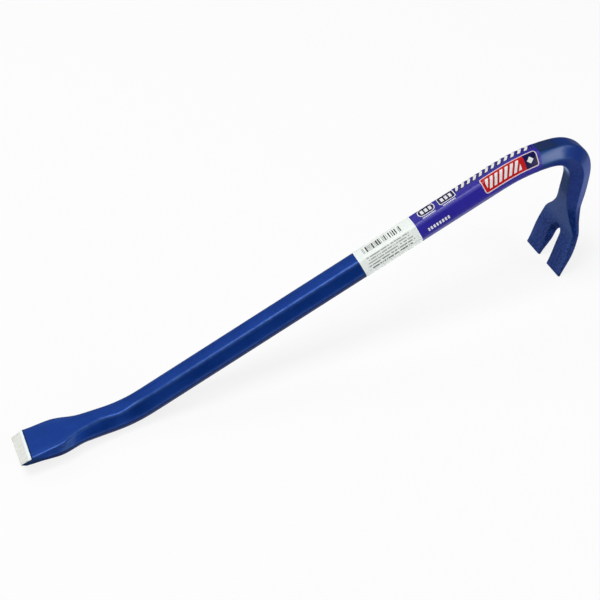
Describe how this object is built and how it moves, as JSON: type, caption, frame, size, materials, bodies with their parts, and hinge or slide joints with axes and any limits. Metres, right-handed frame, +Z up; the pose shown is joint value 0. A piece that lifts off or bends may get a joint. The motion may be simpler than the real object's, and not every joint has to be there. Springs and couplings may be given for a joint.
{
  "type": "gooseneck wrecking bar",
  "caption": "Forged hexagonal pry bar with a swan-neck slotted claw at one end and a wide flat chisel at the other, enamelled blue, with a printed film and a white panel round the shank.",
  "frame": {"origin": "on the bench under the middle of the bar's box, with the bar standing on its two claw tips and the heel of its chisel", "axes": "+X from the chisel to the hook, +Y across the bar, +Z up; the curved centre line lies in the XZ plane"},
  "size_m": [0.2996, 0.03, 0.0764],
  "materials": {
    "blue_enamel": "glossy royal blue enamel over forged steel, ground bright on the chisel's bevel",
    "indigo_film": "glossy indigo printed film with a red badge",
    "white_panel": null
  },
  "bodies": {
    "root": {"forged_bar": "blue_enamel", "film_label": "indigo_film", "barcode_label": "white_panel"}
  },
  "joints": []
}
